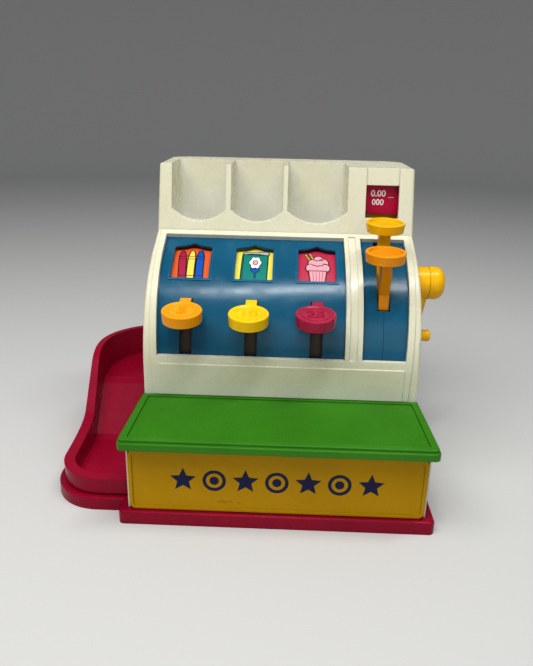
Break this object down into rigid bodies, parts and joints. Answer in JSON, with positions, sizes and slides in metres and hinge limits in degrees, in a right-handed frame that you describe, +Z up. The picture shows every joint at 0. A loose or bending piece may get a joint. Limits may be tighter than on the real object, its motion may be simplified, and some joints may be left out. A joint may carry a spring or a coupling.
{
  "type": "toy cash register",
  "caption": "Toy cash register with coin hoppers, picture windows, coin keys, push levers, sliding drawer under a counter, side coin tray and a crank that rings a bell.",
  "frame": {"origin": "underside of the base plate, on the housing's middle line", "axes": "+X to the register's right (crank side), -Y towards the child, +Z up"},
  "size_m": [0.3045, 0.2442, 0.2428],
  "materials": {
    "crimson_plastic": "moulded gloss",
    "ivory_plastic": "moulded gloss",
    "teal_plastic": "moulded gloss",
    "green_plastic": "moulded gloss, diamond texture",
    "yellow_plastic": "moulded gloss",
    "orange_plastic": "moulded gloss",
    "bright_yellow_plastic": "moulded gloss",
    "raspberry_plastic": "moulded gloss",
    "orange_card": "printed",
    "yellow_card": "printed",
    "raspberry_card": "printed",
    "crimson_card": "printed",
    "natural_plastic": "moulded",
    "smoke_plastic": "moulded",
    "bright_steel": "bright zinc"
  },
  "bodies": {
    "register": {"base_plate": "crimson_plastic", "base_screws": "bright_steel", "bell": "bright_steel", "bell_post": "bright_steel", "chassis": "natural_plastic", "coin_ramp": "natural_plastic", "coin_tray": "crimson_plastic", "counter_lid": "green_plastic", "drawer_spring": "bright_steel", "hammer_pin": "bright_steel", "hammer_spring": "bright_steel", "hopper_floor": "ivory_plastic", "housing": "ivory_plastic", "key_axle": "bright_steel", "key_panel": "teal_plastic", "key_spring_orange": "bright_steel", "key_spring_red": "bright_steel", "key_spring_yellow": "bright_steel", "latch_pin": "bright_steel", "lever_panel": "teal_plastic", "lever_spring_orange": "bright_steel", "lever_spring_yellow": "bright_steel", "rear_cover": "ivory_plastic", "rear_cover_screws": "bright_steel"},
    "orange_key": {"key_orange": "orange_plastic", "blind_orange": "smoke_plastic", "card_left": "orange_card"},
    "yellow_key": {"key_yellow": "bright_yellow_plastic", "blind_yellow": "smoke_plastic", "card_middle": "yellow_card"},
    "red_key": {"key_red": "raspberry_plastic", "blind_red": "smoke_plastic", "card_right": "raspberry_card"},
    "orange_lever": {"lever_orange": "orange_plastic", "sign_card": "crimson_card"},
    "yellow_lever": {"lever_yellow": "bright_yellow_plastic", "sign_backing": "bright_yellow_plastic"},
    "cash_drawer": {"drawer": "yellow_plastic"},
    "crank": {"crank_shaft": "bright_yellow_plastic", "strike_cam": "natural_plastic", "crank_arm": "bright_yellow_plastic", "knob_pin": "bright_steel"},
    "knob": {"crank_knob": "bright_yellow_plastic"},
    "hammer": {"bell_hammer": "natural_plastic"},
    "latch": {"drawer_latch": "natural_plastic"}
  },
  "joints": [
    {"name": "orange_key_press", "type": "hinge", "parent": "register", "child": "orange_key", "pos_m": [0, 0.035, 0.0955], "axis": [1, 0, 0], "range_deg": [0, 18], "stiffness_Nm_per_rad": 0.12, "springref_deg": -20.05, "deforming": ["key_spring_orange"]},
    {"name": "yellow_key_press", "type": "hinge", "parent": "register", "child": "yellow_key", "pos_m": [0, 0.035, 0.0955], "axis": [1, 0, 0], "range_deg": [0, 18], "stiffness_Nm_per_rad": 0.12, "springref_deg": -20.05, "deforming": ["key_spring_yellow"]},
    {"name": "red_key_press", "type": "hinge", "parent": "register", "child": "red_key", "pos_m": [0, 0.035, 0.0955], "axis": [1, 0, 0], "range_deg": [0, 18], "stiffness_Nm_per_rad": 0.12, "springref_deg": -20.05, "deforming": ["key_spring_red"]},
    {"name": "orange_lever_push", "type": "slide", "parent": "register", "child": "orange_lever", "axis": [0, 0, -1], "range_m": [0, 0.012], "stiffness_N_per_m": 120, "springref_m": -0.006, "deforming": ["lever_spring_orange"]},
    {"name": "yellow_lever_push", "type": "slide", "parent": "register", "child": "yellow_lever", "axis": [0, 0, -1], "range_m": [0, 0.012], "stiffness_N_per_m": 120, "springref_m": -0.006, "deforming": ["lever_spring_yellow"]},
    {"name": "drawer_slide", "type": "slide", "parent": "register", "child": "cash_drawer", "axis": [0, -1, 0], "range_m": [0, 0.08]},
    {"name": "crank_turn", "type": "hinge", "parent": "register", "child": "crank", "pos_m": [0.11, 0, 0.1095], "axis": [1, 0, 0], "continuous": true},
    {"name": "knob_spin", "type": "hinge", "parent": "crank", "child": "knob", "pos_m": [0.125, 0, 0.1555], "axis": [1, 0, 0], "continuous": true},
    {"name": "hammer_swing", "type": "hinge", "parent": "register", "child": "hammer", "pos_m": [0.095, 0.054, 0.07], "axis": [1, 0, 0], "range_deg": [-2, 12], "stiffness_Nm_per_rad": 0.002},
    {"name": "latch_swing", "type": "hinge", "parent": "register", "child": "latch", "pos_m": [0, 0.024, 0.057], "axis": [1, 0, 0], "range_deg": [-4, 0]}
  ]
}
